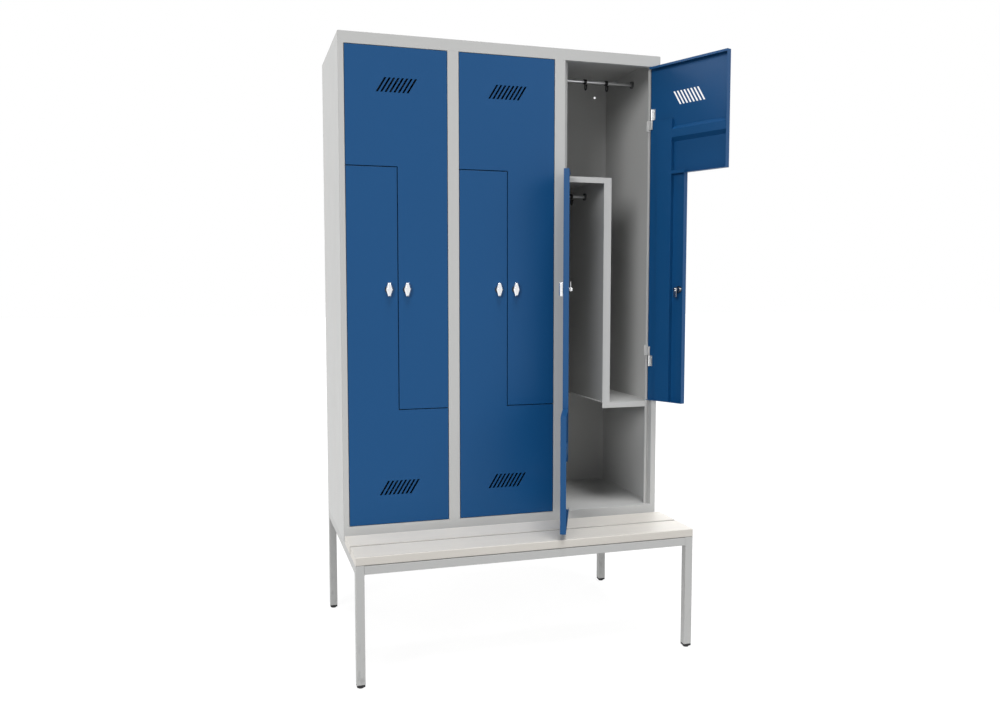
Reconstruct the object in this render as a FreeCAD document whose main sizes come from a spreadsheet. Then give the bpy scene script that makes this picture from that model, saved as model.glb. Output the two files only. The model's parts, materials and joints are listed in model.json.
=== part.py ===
"""Three-column sheet-steel locker with six interlocking L-shaped doors, standing on a slatted bench base.

Millimetres, +Z up, +Y to the back, seen from the front with +X to the right. Each column is one locker for
two users: an upper compartment behind the door hinged on the right and a lower one behind the door hinged on
the left, kept apart by a Z-shaped partition. The third column's doors stand open, as in the picture.
"""
import math
import os

import FreeCAD
import Part
import Sketcher

# Driving sizes, one cell each.
SIZES = {
    "column_width": 400.0,
    "cabinet_height": 1750.0,
    "cabinet_depth": 500.0,
    "frame_top": 404.0,
    "sheet": 1.2,
    "upright": 20.0,
    "top_bar": 40.0,
    "bottom_bar": 50.0,
    "door_depth": 20.0,
    "door_gap": 2.0,
    "door_seam": 1.5,
    "door_edge": 0.8,
    "flange_short": 6.0,
    "top_lip": 8.0,
    "stop_gap": 1.0,
    "stop_width": 8.0,
    "groove_width": 8.0,
    "groove_depth": 8.0,
    "split_half": 423.0,
    "shelf_drop": 6.0,
    "shelf_bar": 21.0,
    "wall_strip": 30.0,
    "open_angle": 113.0,
    "vent_count": 8.0,
    "vent_pitch": 17.0,
    "vent_width": 7.5,
    "vent_height": 50.0,
    "vent_slant": 18.0,
    "vent_drop": 105.0,
    "stiffener_set": 2.8,
    "post_width": 66.0,
    "post_clear": 25.0,
    "post_drop": 48.0,
    "beam_drop": 25.0,
    "beam_height": 57.0,
    "beam_slope": 14.0,
    "brace_height": 12.0,
    "pin_radius": 2.0,
    "knuckle_wall": 1.8,
    "knuckle_clear": 0.5,
    "swing_clear": 1.5,
    "running_fit": 0.05,
    "plate_width": 24.0,
    "plate_height": 40.0,
    "plate_thick": 2.0,
    "arm_thick": 3.0,
    "arm_offset": 0.5,
    "knuckle_short": 6.0,
    "knuckle_length": 40.0,
    "knuckle_gap": 0.5,
    "strap_width": 14.0,
    "hinge_drop": 153.5,
    "hinge_rise": 129.0,
    "lock_offset": 32.0,
    "spindle_radius": 4.0,
    "barrel_wall": 5.0,
    "rosette_rim": 6.0,
    "rosette_thick": 1.6,
    "lock_nut_rim": 4.0,
    "lock_nut_thick": 4.0,
    "knob_length": 48.0,
    "knob_width": 25.0,
    "knob_flat": 11.0,
    "knob_height": 14.0,
    "knob_chamfer": 4.0,
    "knob_gap": 0.4,
    "cam_clearance": 2.0,
    "cam_gap": 0.5,
    "cam_thick": 2.5,
    "cam_rim": 3.0,
    "cam_tip_gap": 3.4,
    "nut_rim": 2.5,
    "nut_height": 5.0,
    "rod_radius": 6.0,
    "rod_setback": 240.0,
    "rod_drop": 54.0,
    "rod_low_drop": 29.0,
    "socket_rim": 8.0,
    "socket_length": 6.0,
    "hook_fit": 0.08,
    "hook_wall": 3.4,
    "hook_width": 11.0,
    "hook_wire": 2.6,
    "hook_drop": 24.0,
    "hook_bend": 9.0,
    "hook_tip": 7.0,
    "hook_ball": 3.6,
    "hook_first": -6.0,
    "hook_second": 84.0,
    "hook_low": -62.0,
    "bench_reach": 300.0,
    "tube": 28.0,
    "tube_wall": 1.5,
    "rail_height": 30.0,
    "rail_gap": 2.0,
    "slat_setback": 34.0,
    "slat_thick": 28.0,
    "slat_gap": 10.0,
    "slat_edge": 3.0,
    "foot_height": 12.0,
    "foot_cap": 7.0,
    "foot_inset": 0.8,
    "foot_plug": 18.0,
    "plug_play": 0.2,
    "foot_toe": 10.0,
    "fixing_radius": 4.5,
    "fixing_edge": 55.0,
}
COLUMNS = 3
LEVELS = ("upper", "lower")

doc = FreeCAD.newDocument("locker")
cells = doc.addObject("Spreadsheet::Sheet", "dims")
for row, (alias, number) in enumerate(SIZES.items(), start=1):
    cells.set(f"A{row}", alias)
    cells.set(f"B{row}", str(number))
    cells.setAlias(f"B{row}", alias)
doc.recompute()


class Size:
    """A length together with the cell formula that drives it."""

    def __init__(self, text, number):
        self.text = text
        self.number = number

    def _join(self, sign, other, number):
        return Size(f"({self.text} {sign} {other.text})", number)

    def __add__(self, other):
        other = size(other)
        return self._join("+", other, self.number + other.number)

    def __radd__(self, other):
        return size(other) + self

    def __sub__(self, other):
        other = size(other)
        return self._join("-", other, self.number - other.number)

    def __rsub__(self, other):
        return size(other) - self

    def __mul__(self, other):
        other = size(other)
        return self._join("*", other, self.number * other.number)

    def __rmul__(self, other):
        return size(other) * self

    def __truediv__(self, other):
        other = size(other)
        return self._join("/", other, self.number / other.number)

    def __neg__(self):
        return size(0.0) - self


def size(value):
    """Wraps a plain number, and leaves a Size as it is."""
    if isinstance(value, Size):
        return value
    return Size(f"({float(value)!r})", float(value))


class Named:
    """The cells by name, as Size values."""


d = Named()
for alias, number in SIZES.items():
    setattr(d, alias, Size(f"dims.{alias}", number))

# Lines that several pieces share.
width = COLUMNS * d.column_width
cabinet_top = d.frame_top + d.cabinet_height
open_low = d.frame_top + d.bottom_bar
open_high = cabinet_top - d.top_bar
middle = (open_low + open_high) / 2
stop_y = d.door_depth + d.stop_gap
base_y = stop_y + d.groove_depth
inner_back = d.cabinet_depth - d.sheet
stop_reach = d.upright + d.groove_width + d.stop_width
half_open = d.column_width / 2 - d.upright
half_width = half_open - d.door_gap
half_height = (open_high - open_low) / 2 - d.door_gap
seam_high = d.split_half + d.door_seam
seam_low = d.door_seam - d.split_half
door_back = d.door_depth - d.stiffener_set
knuckle_radius = d.pin_radius + d.knuckle_wall
pin_y = d.sheet + d.knuckle_clear + knuckle_radius
pin_inset = (pin_y * pin_y + d.door_gap * d.door_gap) / (2 * d.door_gap) + d.swing_clear
pin_x = half_open - pin_inset
barrel_radius = d.spindle_radius + d.barrel_wall
shelf_high = middle + d.split_half - d.shelf_drop
shelf_low = middle - d.split_half - d.shelf_drop
cam_y = stop_y + d.sheet + d.cam_clearance
rod_high = cabinet_top - d.rod_drop
rod_low = shelf_high - d.shelf_bar - d.rod_low_drop
slat_width = (d.bench_reach - d.slat_setback - d.slat_gap) / 2


def bind(item, prop, value):
    item.setExpression(prop, size(value).text)


def set_base(item, corner):
    for axis, value in zip("xyz", corner):
        bind(item, f"Placement.Base.{axis}", value)


def box(name, low, high):
    """A block between two corners."""
    item = doc.addObject("Part::Box", name)
    for prop, start, end in zip(("Length", "Width", "Height"), low, high):
        bind(item, prop, size(end) - start)
    set_base(item, low)
    return item


TURNS = {
    "X": FreeCAD.Rotation(FreeCAD.Vector(0, 1, 0), 90),
    "Y": FreeCAD.Rotation(FreeCAD.Vector(1, 0, 0), -90),
    "Z": FreeCAD.Rotation(),
}


def bar(name, start, axis, length, radius):
    """A round bar from a start point along an axis."""
    item = doc.addObject("Part::Cylinder", name)
    item.Placement = FreeCAD.Placement(FreeCAD.Vector(), TURNS[axis])
    bind(item, "Radius", radius)
    bind(item, "Height", length)
    set_base(item, start)
    return item


def fuse(name, parts):
    item = doc.addObject("Part::MultiFuse", name)
    item.Shapes = parts
    item.Refine = True
    return item


def cut(name, base, tool):
    item = doc.addObject("Part::Cut", name)
    item.Base = base
    item.Tool = tool
    return item


def group(name, parts):
    """Separate solids of one node."""
    item = doc.addObject("Part::Compound", name)
    item.Links = parts
    return item


def origin_plane(body, role):
    for feature in body.Origin.OriginFeatures:
        if feature.Role == role:
            return feature
    raise ValueError(role)


def new_sketch(body, name, role):
    sketch = body.newObject("Sketcher::SketchObject", name)
    sketch.AttachmentSupport = [(origin_plane(body, role), "")]
    sketch.MapMode = "FlatFace"
    return sketch


def pin_point(sketch, label, geometry, corner, point):
    """Holds one point of a sketch at formulas for its two coordinates."""
    for kind, short, value in zip(("DistanceX", "DistanceY"), "xy", point):
        value = size(value)
        index = sketch.addConstraint(Sketcher.Constraint(kind, -1, 1, geometry, corner, value.number))
        sketch.renameConstraint(index, f"{label}_{short}")
        sketch.setExpression(f"Constraints.{label}_{short}", value.text)


def polygon(body, name, role, points):
    """A closed outline whose corners are all formulas."""
    sketch = new_sketch(body, name, role)
    spots = [FreeCAD.Vector(size(a).number, size(b).number, 0) for a, b in points]
    count = len(spots)
    for index in range(count):
        sketch.addGeometry(Part.LineSegment(spots[index], spots[(index + 1) % count]), False)
    for index in range(count):
        sketch.addConstraint(Sketcher.Constraint("Coincident", index, 2, (index + 1) % count, 1))
    for index, point in enumerate(points):
        pin_point(sketch, f"p{index}", index, 1, point)
    return sketch


def ring(body, name, role, centre, radius):
    """A circle with a formula for its centre and radius."""
    sketch = new_sketch(body, name, role)
    spot = FreeCAD.Vector(size(centre[0]).number, size(centre[1]).number, 0)
    circle = Part.Circle(spot, FreeCAD.Vector(0, 0, 1), size(radius).number)
    sketch.addGeometry(circle, False)
    pin_point(sketch, "centre", 0, 3, centre)
    index = sketch.addConstraint(Sketcher.Constraint("Radius", 0, size(radius).number))
    sketch.renameConstraint(index, "radius")
    sketch.setExpression("Constraints.radius", size(radius).text)
    return sketch


def solid_step(body, kind, name, sketch, length, backwards):
    """A pad or pocket on the front plane; backwards turns its direction round."""
    item = body.newObject(f"PartDesign::{kind}", name)
    item.Profile = sketch
    bind(item, "Length", length)
    item.Reversed = backwards
    return item


def profile(name, role, points, start, length):
    """A body drawn as one closed section and pushed along the section's normal from a start."""
    body = doc.addObject("PartDesign::Body", name)
    section = polygon(body, name + "_section", role, points)
    bind(section, "AttachmentOffset.Base.z", start)
    solid_step(body, "Pad", name + "_run", section, length, False)
    return body


def front_edges(shape, depth):
    """Names of the edges around the largest flat face at one depth."""
    best = None
    for face in shape.Faces:
        bounds = face.BoundBox
        flat = abs(bounds.YMin - depth) < 1e-6 and abs(bounds.YMax - depth) < 1e-6
        if flat and (best is None or face.Area > best.Area):
            best = face
    names = []
    for edge in best.OuterWire.Edges:
        for index, candidate in enumerate(shape.Edges, start=1):
            if candidate.isSame(edge):
                names.append(f"Edge{index}")
    return names


def door_pan(name):
    """An L-shaped folded pan: front sheet, flanges with a lip on the far one, slanted vents, lock's hole."""
    body = doc.addObject("PartDesign::Body", name)
    outline = [
        (-half_width, seam_high),
        (-half_width, half_height),
        (half_width, half_height),
        (half_width, seam_low),
        (d.door_seam, seam_low),
        (d.door_seam, seam_high),
    ]
    blank = polygon(body, name + "_outline", "XZ_Plane", outline)
    solid_step(body, "Pad", name + "_blank", blank, d.door_depth, True)
    left = d.sheet - half_width
    inner = d.door_seam + d.sheet
    short = half_width - d.flange_short
    beyond = half_width + d.flange_short
    hollow_line = [
        (left, seam_high + d.sheet),
        (left, half_height - d.sheet),
        (short, half_height - d.sheet),
        (short, half_height + d.sheet),
        (beyond, half_height + d.sheet),
        (beyond, seam_low - d.sheet),
        (short, seam_low - d.sheet),
        (short, seam_low + d.sheet),
        (inner, seam_low + d.sheet),
        (inner, seam_high + d.sheet),
    ]
    hollow_sketch = polygon(body, name + "_hollow_line", "XZ_Plane", hollow_line)
    bind(hollow_sketch, "AttachmentOffset.Base.z", -d.door_depth)
    solid_step(body, "Pocket", name + "_hollow", hollow_sketch, d.door_depth - d.sheet, True)
    lip_line = [
        (-half_width, half_height - d.top_lip),
        (short, half_height - d.top_lip),
        (short, half_height),
        (-half_width, half_height),
    ]
    lip_sketch = polygon(body, name + "_lip_line", "XZ_Plane", lip_line)
    bind(lip_sketch, "AttachmentOffset.Base.z", -d.door_depth)
    solid_step(body, "Pad", name + "_lip", lip_sketch, d.sheet, False)
    span = (d.vent_count - 1) * d.vent_pitch
    low = half_height - d.vent_drop - d.vent_height
    high = half_height - d.vent_drop
    start = -(span + d.vent_width + d.vent_slant) / 2
    slot = [
        (start, low),
        (start + d.vent_width, low),
        (start + d.vent_width + d.vent_slant, high),
        (start + d.vent_slant, high),
    ]
    vent_sketch = polygon(body, name + "_vent_line", "XZ_Plane", slot)
    vent = solid_step(body, "Pocket", name + "_vent", vent_sketch, d.sheet * 2, False)
    doc.recompute()
    row = body.newObject("PartDesign::LinearPattern", name + "_vents")
    row.Originals = [vent]
    row.Direction = (vent_sketch, ["H_Axis"])
    bind(row, "Length", span)
    bind(row, "Occurrences", d.vent_count)
    body.Tip = row
    hole = ring(body, name + "_lock_line", "XZ_Plane", (d.lock_offset, 0.0), barrel_radius + d.running_fit)
    last = solid_step(body, "Pocket", name + "_lock_hole", hole, d.sheet * 2, False)
    doc.recompute()
    rounded = body.newObject("PartDesign::Fillet", name + "_edge")
    rounded.Base = (last, front_edges(last.Shape, 0.0))
    bind(rounded, "Radius", d.door_edge)
    body.Tip = rounded
    return body


def door_shell(name):
    """The pan as its wide and its narrow part, which meet edge to edge at the corner of the L."""
    pan = door_pan(name + "_pan")
    back = d.door_depth
    wide = box(name + "_wide_room", (-half_width, 0.0, seam_high), (half_width, back, half_height))
    narrow = box(name + "_narrow_room", (d.door_seam, 0.0, seam_low), (half_width, back, seam_high))
    parts = []
    for label, room in (("wide", wide), ("narrow", narrow)):
        part = doc.addObject("Part::Common", f"{name}_{label}")
        part.Base = pan
        part.Tool = room
        parts.append(part)
    return group(name, parts)


def door_stiffeners(name):
    """The folded post beside the hinges, the hat-shaped beam across the wide part and the brace at the L."""
    near = d.sheet
    inside = door_back - d.sheet
    post_to = pin_x - d.strap_width - d.post_clear
    post_from = post_to - d.post_width
    foot = seam_low + d.sheet
    post_top = half_height - d.vent_drop - d.vent_height - d.post_drop
    channel = [
        (post_from, near),
        (post_from + d.sheet, near),
        (post_from + d.sheet, inside),
        (post_to - d.sheet, inside),
        (post_to - d.sheet, near),
        (post_to, near),
        (post_to, door_back),
        (post_from, door_back),
    ]
    post = profile(name + "_post", "XY_Plane", channel, foot, post_top - foot)
    beam_top = post_top - d.beam_drop
    beam_low = beam_top - d.beam_height
    wall = d.sheet * math.hypot(1.0, d.beam_slope.number / (door_back - d.sheet).number)
    hat = [
        (near, beam_low),
        (door_back, beam_low + d.beam_slope),
        (door_back, beam_top - d.beam_slope),
        (near, beam_top),
        (near, beam_top - wall),
        (inside, beam_top - d.beam_slope - wall),
        (inside, beam_low + d.beam_slope + wall),
        (near, beam_low + wall),
    ]
    beam_from = d.sheet - half_width
    beam = profile(name + "_beam", "YZ_Plane", hat, beam_from, post_from - beam_from)
    angle = [
        (near, seam_high),
        (door_back, seam_high),
        (door_back, seam_high + d.brace_height),
        (inside, seam_high + d.brace_height),
        (inside, seam_high + d.sheet),
        (near, seam_high + d.sheet),
    ]
    brace_from = d.door_seam + d.sheet
    brace = profile(name + "_brace", "YZ_Plane", angle, brace_from, post_from - brace_from)
    return group(name, [post, beam, brace])


def hinge_spans(which):
    """Heights of one hinge: frame plate, frame knuckle, door knuckle and pin, each as low and high."""
    if which == "high":
        top = half_height - d.hinge_drop
        door = (top - d.knuckle_length, top)
        plate = (door[0] - d.knuckle_gap - d.plate_height, door[0] - d.knuckle_gap)
        frame = (plate[0] + d.knuckle_short, plate[1])
        pin = (frame[0], door[1])
    else:
        foot = seam_low + d.hinge_rise
        door = (foot, foot + d.knuckle_length)
        plate = (door[1] + d.knuckle_gap, door[1] + d.knuckle_gap + d.plate_height)
        frame = (plate[0], plate[1] - d.knuckle_short)
        pin = (door[0], frame[1])
    return plate, frame, door, pin


def knuckle(name, span, radius):
    return bar(name, (pin_x, pin_y, span[0]), "Z", span[1] - span[0], radius)


def door_hinges(name):
    """The two hinge straps on the door, each with its sleeve on the pin."""
    leaves = []
    for which in ("high", "low"):
        span = hinge_spans(which)[2]
        tag = f"{name}_{which}"
        strap = box(tag + "_strap", (pin_x - d.strap_width, d.sheet, span[0]),
                    (pin_x, d.sheet + d.plate_thick, span[1]))
        sleeve = knuckle(tag + "_sleeve", span, knuckle_radius)
        bore = knuckle(tag + "_bore", span, d.pin_radius + d.running_fit)
        leaves.append(cut(tag, fuse(tag + "_leaf", [strap, sleeve]), bore))
    return group(name, leaves)


def frame_hinges(name):
    """The two hinge plates on the upright, each with an arm and a knuckle that holds the pin."""
    leaves = []
    for which in ("high", "low"):
        plate, span = hinge_spans(which)[:2]
        tag = f"{name}_{which}"
        face = box(tag + "_plate", (half_open - d.plate_width, stop_y - d.plate_thick, plate[0]),
                   (half_open, stop_y, plate[1]))
        arm_end = pin_x - d.arm_offset
        arm = box(tag + "_arm", (arm_end - d.arm_thick, pin_y, span[0]),
                  (arm_end, stop_y - d.plate_thick, span[1]))
        sleeve = knuckle(tag + "_sleeve", span, knuckle_radius)
        bore = knuckle(tag + "_bore", span, d.pin_radius + d.running_fit)
        leaves.append(cut(tag, fuse(tag + "_leaf", [face, arm, sleeve]), bore))
    return group(name, leaves)


def pins(name):
    """The two pins that a door turns on."""
    spans = {which: hinge_spans(which)[3] for which in ("high", "low")}
    return group(name, [knuckle(f"{name}_{which}", span, d.pin_radius) for which, span in spans.items()])


def lock_housing(name):
    """The lock's body in the door: rosette in front, barrel through the sheet, nut behind it."""
    x = d.lock_offset
    front = -d.rosette_thick
    end = cam_y - d.cam_gap
    body = fuse(name + "_body", [
        bar(name + "_rosette", (x, front, 0.0), "Y", d.rosette_thick, barrel_radius + d.rosette_rim),
        bar(name + "_barrel", (x, 0.0, 0.0), "Y", end, barrel_radius),
        bar(name + "_nut", (x, d.sheet, 0.0), "Y", d.lock_nut_thick, barrel_radius + d.lock_nut_rim),
    ])
    bore = bar(name + "_bore", (x, front, 0.0), "Y", end - front, d.spindle_radius + d.running_fit)
    return cut(name, body, bore)


def lock_knob(name):
    """The diamond knob with its spindle, and the cam and nut at the spindle's other end."""
    x = d.lock_offset
    back = d.rosette_thick + d.knob_gap
    half_long = d.knob_length / 2
    half_wide = d.knob_width / 2
    half_flat = d.knob_flat / 2
    knob = doc.addObject("PartDesign::Body", name + "_handle")
    diamond = [
        (x - half_flat, -half_long),
        (x + half_flat, -half_long),
        (x + half_wide, 0.0),
        (x + half_flat, half_long),
        (x - half_flat, half_long),
        (x - half_wide, 0.0),
    ]
    outline = polygon(knob, name + "_outline", "XZ_Plane", diamond)
    bind(outline, "AttachmentOffset.Base.z", back)
    blank = solid_step(knob, "Pad", name + "_blank", outline, d.knob_height, False)
    doc.recompute()
    bevel = knob.newObject("PartDesign::Chamfer", name + "_bevel")
    bevel.Base = (blank, front_edges(blank.Shape, -(back + d.knob_height).number))
    bind(bevel, "Size", d.knob_chamfer)
    axle = ring(knob, name + "_axle_line", "XZ_Plane", (x, 0.0), d.spindle_radius)
    bind(axle, "AttachmentOffset.Base.z", back)
    solid_step(knob, "Pad", name + "_axle", axle, back + cam_y + d.cam_thick, True)
    half_cam = d.spindle_radius + d.cam_rim
    cam_reach = d.lock_offset - d.sheet / 2 - d.cam_tip_gap
    cam_back = cam_y + d.cam_thick
    plate = box(name + "_cam_plate", (x - half_cam, cam_y, -cam_reach), (x + half_cam, cam_back, half_cam))
    eye = bar(name + "_cam_eye", (x, cam_y, 0.0), "Y", d.cam_thick, d.spindle_radius)
    cam = cut(name + "_cam", plate, eye)
    nut = doc.addObject("Part::Prism", name + "_nut")
    nut.Polygon = 6
    nut.Placement = FreeCAD.Placement(FreeCAD.Vector(), TURNS["Y"])
    bind(nut, "Circumradius", d.spindle_radius + d.nut_rim)
    bind(nut, "Height", d.nut_height)
    set_base(nut, (x, cam_back, 0.0))
    return group(name, [knob, cam, nut])


def hook(name):
    """A sliding coat hook: a ring on the rail, a stem, a bend and a ball tip."""
    half = d.hook_width / 2
    bore_radius = d.rod_radius + d.hook_fit
    blank = bar(name + "_ring", (-half, 0.0, 0.0), "X", d.hook_width, bore_radius + d.hook_wall)
    bore = bar(name + "_bore", (-half, 0.0, 0.0), "X", d.hook_width, bore_radius)
    grip = bore_radius + d.hook_wall / 2
    stem = bar(name + "_stem", (0.0, 0.0, -d.hook_drop), "Z", d.hook_drop - grip, d.hook_wire)
    bend = doc.addObject("Part::Torus", name + "_bend")
    across, down, left = FreeCAD.Vector(0, 1, 0), FreeCAD.Vector(0, 0, -1), FreeCAD.Vector(-1, 0, 0)
    turn = FreeCAD.Rotation(across, down, left, "XYZ")
    bend.Placement = FreeCAD.Placement(FreeCAD.Vector(), turn)
    bind(bend, "Radius1", d.hook_bend)
    bind(bend, "Radius2", d.hook_wire)
    bend.Angle3 = 180
    set_base(bend, (0.0, -d.hook_bend, -d.hook_drop))
    front = -2 * d.hook_bend
    tip = bar(name + "_tip", (0.0, front, -d.hook_drop), "Z", d.hook_tip, d.hook_wire)
    ball = doc.addObject("Part::Sphere", name + "_ball")
    bind(ball, "Radius", d.hook_ball)
    set_base(ball, (0.0, front, d.hook_tip - d.hook_drop))
    collar = cut(name + "_collar", blank, bore)
    return fuse(name, [collar, stem, bend, tip, ball])


def fold_lines(centre, side):
    """One folded edge of an upright: return, groove, door stop and lip, as its seen and its hidden line."""
    edge = centre + side * d.upright
    wall = edge + side * d.groove_width
    tip = wall + side * d.stop_width
    thick = side * d.sheet
    floor_y = base_y - d.sheet
    seen = [
        (edge, 0.0),
        (edge, floor_y),
        (wall, floor_y),
        (wall, stop_y),
        (tip, stop_y),
        (tip, base_y),
    ]
    hidden = [
        (tip - thick, base_y),
        (tip - thick, stop_y + d.sheet),
        (wall + thick, stop_y + d.sheet),
        (wall + thick, base_y),
        (edge - thick, base_y),
        (edge - thick, d.sheet),
    ]
    return seen, hidden


def side_panel(name, side):
    """An outer side: the flat sheet, and the half upright folded along its front edge."""
    outer = size(0.0) if side < 0 else width
    inner = outer - side * d.sheet
    low, high = (outer, inner) if side < 0 else (inner, outer)
    flat = box(name + "_sheet", (low, 0.0, d.frame_top), (high, d.cabinet_depth, cabinet_top))
    seen, hidden = fold_lines(outer, -side)
    section = [(inner, 0.0)] + seen + hidden + [(inner, d.sheet)]
    upright = profile(name + "_upright", "XY_Plane", section, open_low, open_high - open_low)
    return group(name, [flat, upright])


def divider(name, index):
    """A wall between two columns: the double upright in front and the notched sheet that stands in it."""
    centre = index * d.column_width
    right_seen, right_hidden = fold_lines(centre, 1)
    left_seen, left_hidden = fold_lines(centre, -1)
    section = right_seen + right_hidden + left_hidden[::-1] + left_seen[::-1]
    upright = profile(name + "_upright", "XY_Plane", section, open_low, open_high - open_low)
    notched = [
        (d.sheet, open_low),
        (inner_back, open_low),
        (inner_back, cabinet_top - d.sheet),
        (stop_y, cabinet_top - d.sheet),
        (stop_y, open_high),
        (d.sheet, open_high),
    ]
    web = profile(name + "_sheet", "YZ_Plane", notched, centre - d.sheet / 2, d.sheet)
    return group(name, [web, upright])


def half_shelf(name, low_x, high_x, top, notch):
    """Half a shelf: a sheet with a folded front bar, notched at one end to pass the upright's stop."""
    fold = [
        (stop_y, top - d.shelf_bar),
        (stop_y + d.sheet, top - d.shelf_bar),
        (stop_y + d.sheet, top - d.sheet),
        (inner_back, top - d.sheet),
        (inner_back, top),
        (stop_y, top),
    ]
    body = profile(name, "YZ_Plane", fold, low_x, high_x - low_x)
    corner = [
        (notch[0], stop_y - d.sheet),
        (notch[1], stop_y - d.sheet),
        (notch[1], base_y),
        (notch[0], base_y),
    ]
    line = polygon(body, name + "_notch_line", "XY_Plane", corner)
    bind(line, "AttachmentOffset.Base.z", top)
    solid_step(body, "Pocket", name + "_notch", line, d.shelf_bar, False)
    return body


def wall_faces(column):
    """The two faces of a column's inside, left and right."""
    left = d.sheet if column == 0 else column * d.column_width + d.sheet / 2
    right = width - d.sheet if column == COLUMNS - 1 else (column + 1) * d.column_width - d.sheet / 2
    return left, right


def z_partition(name, column):
    """The Z-shaped partition: half a shelf on the left, the wall, and half a shelf on the right."""
    left, right = wall_faces(column)
    start = column * d.column_width
    end = start + d.column_width
    centre = start + d.column_width / 2
    half = d.wall_strip / 2
    high = half_shelf(name + "_high", left, centre + half, shelf_high, (left, start + stop_reach))
    low = half_shelf(name + "_low", centre - half, right, shelf_low, (end - stop_reach, right))
    thin = d.sheet / 2
    behind = stop_y + d.sheet
    strip_top = shelf_high - d.shelf_bar
    wall_top = shelf_high - d.sheet
    strip = box(name + "_strip", (centre - half, stop_y, shelf_low), (centre + half, behind, strip_top))
    wall = box(name + "_wall", (centre - thin, behind, shelf_low), (centre + thin, inner_back, wall_top))
    return group(name, [high, strip, wall, low])


def rail_spans(column):
    """The column's two hanging rails: start, end and height of each."""
    left, right = wall_faces(column)
    wall = column * d.column_width + d.column_width / 2 - d.sheet / 2
    return [("high", left, right, rod_high), ("low", left, wall, rod_low)]


def tube(name, low, high, axis):
    """A square tube, open at both ends along its axis."""
    outer = box(name + "_outer", low, high)
    walls = [0.0 if letter == axis else d.tube_wall for letter in "XYZ"]
    inner_low = [size(value) + wall for value, wall in zip(low, walls)]
    inner_high = [size(value) - wall for value, wall in zip(high, walls)]
    return cut(name, outer, box(name + "_inner", inner_low, inner_high))


def leg_corners():
    """The low corner of each leg in plan."""
    for x in (size(0.0), width - d.tube):
        for y in (-d.bench_reach, d.cabinet_depth - d.tube):
            yield x, y


def foot(name, x, y):
    """A plastic end cap: plug inside the leg, cap below it and a tapered toe on the floor."""
    half = d.tube / 2
    middle_x = x + half
    middle_y = y + half
    cap = half - d.foot_inset
    plug = half - d.tube_wall - d.plug_play
    toe_top = d.foot_height - d.foot_cap
    toe = doc.addObject("Part::Cone", name + "_toe")
    bind(toe, "Radius1", d.foot_toe)
    bind(toe, "Radius2", cap)
    bind(toe, "Height", toe_top)
    set_base(toe, (middle_x, middle_y, 0.0))
    blocks = []
    for tag, reach, low, high in (
        ("cap", cap, toe_top, d.foot_height),
        ("plug", plug, d.foot_height, d.foot_height + d.foot_plug),
    ):
        near = (middle_x - reach, middle_y - reach, low)
        far = (middle_x + reach, middle_y + reach, high)
        blocks.append(box(f"{name}_{tag}", near, far))
    return fuse(name, [*blocks, toe])


def slat(name, front):
    """A seat slat with its long edges rounded."""
    high = d.frame_top + d.slat_thick
    back = front + slat_width
    section = [(front, d.frame_top), (back, d.frame_top), (back, high), (front, high)]
    body = profile(name, "YZ_Plane", section, 0.0, width)
    doc.recompute()
    blank = body.Tip
    long_edges = []
    for index, edge in enumerate(blank.Shape.Edges, start=1):
        if edge.BoundBox.XLength > edge.BoundBox.YLength + edge.BoundBox.ZLength:
            long_edges.append(f"Edge{index}")
    rounded = body.newObject("PartDesign::Fillet", name + "_rounding")
    rounded.Base = (blank, long_edges)
    bind(rounded, "Radius", d.slat_edge)
    body.Tip = rounded
    return body


def closed_place(column, level):
    """Where a door sits when it is shut; the lower door is the upper one turned half round."""
    spot = FreeCAD.Vector((column + 0.5) * d.column_width.number, 0, middle.number)
    half_turn = 180 if level == "lower" else 0
    return FreeCAD.Placement(spot, FreeCAD.Rotation(FreeCAD.Vector(0, 1, 0), half_turn))


def door_place(column, level):
    """Where a door stands in the picture: the last column's doors are swung open on their pins."""
    place = closed_place(column, level)
    if column != COLUMNS - 1:
        return place
    side = -1 if level == "lower" else 1
    pin = FreeCAD.Vector(place.Base.x + side * pin_x.number, pin_y.number, 0)
    turn = FreeCAD.Rotation(FreeCAD.Vector(0, 0, 1), side * d.open_angle.number)
    swing = FreeCAD.Placement(pin, turn).multiply(FreeCAD.Placement(-pin, FreeCAD.Rotation()))
    return swing.multiply(place)


nodes = []


def node(item, place=None):
    if place is not None:
        item.Placement = place
    nodes.append(item)
    return item


# The cabinet's sheets.
node(side_panel("side_panel_left", -1))
node(side_panel("side_panel_right", 1))
for index in range(1, COLUMNS):
    node(divider(f"divider_{index}", index))
roof = [
    (0.0, open_high),
    (stop_y, open_high),
    (stop_y, open_high + d.sheet),
    (d.sheet, open_high + d.sheet),
    (d.sheet, cabinet_top - d.sheet),
    (d.cabinet_depth, cabinet_top - d.sheet),
    (d.cabinet_depth, cabinet_top),
    (0.0, cabinet_top),
]
node(profile("top_panel", "YZ_Plane", roof, d.sheet, width - 2 * d.sheet))
floor = [
    (0.0, d.frame_top),
    (d.sheet, d.frame_top),
    (d.sheet, open_low - d.sheet),
    (inner_back, open_low - d.sheet),
    (inner_back, open_low),
    (0.0, open_low),
]
node(profile("bottom_panel", "YZ_Plane", floor, d.sheet, width - 2 * d.sheet))
rear_far = (width - d.sheet, d.cabinet_depth, cabinet_top - d.sheet)
rear = box("back_sheet", (d.sheet, inner_back, d.frame_top), rear_far)
fixings = fuse("fixing_holes", [
    bar(f"fixing_hole_{tag}", (x, inner_back, cabinet_top - d.fixing_edge), "Y", d.sheet, d.fixing_radius)
    for tag, x in (("left", d.fixing_edge), ("right", width - d.fixing_edge))
])
node(cut("back_panel", rear, fixings))
for column in range(COLUMNS):
    node(z_partition(f"z_partition_{column + 1}", column))

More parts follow.
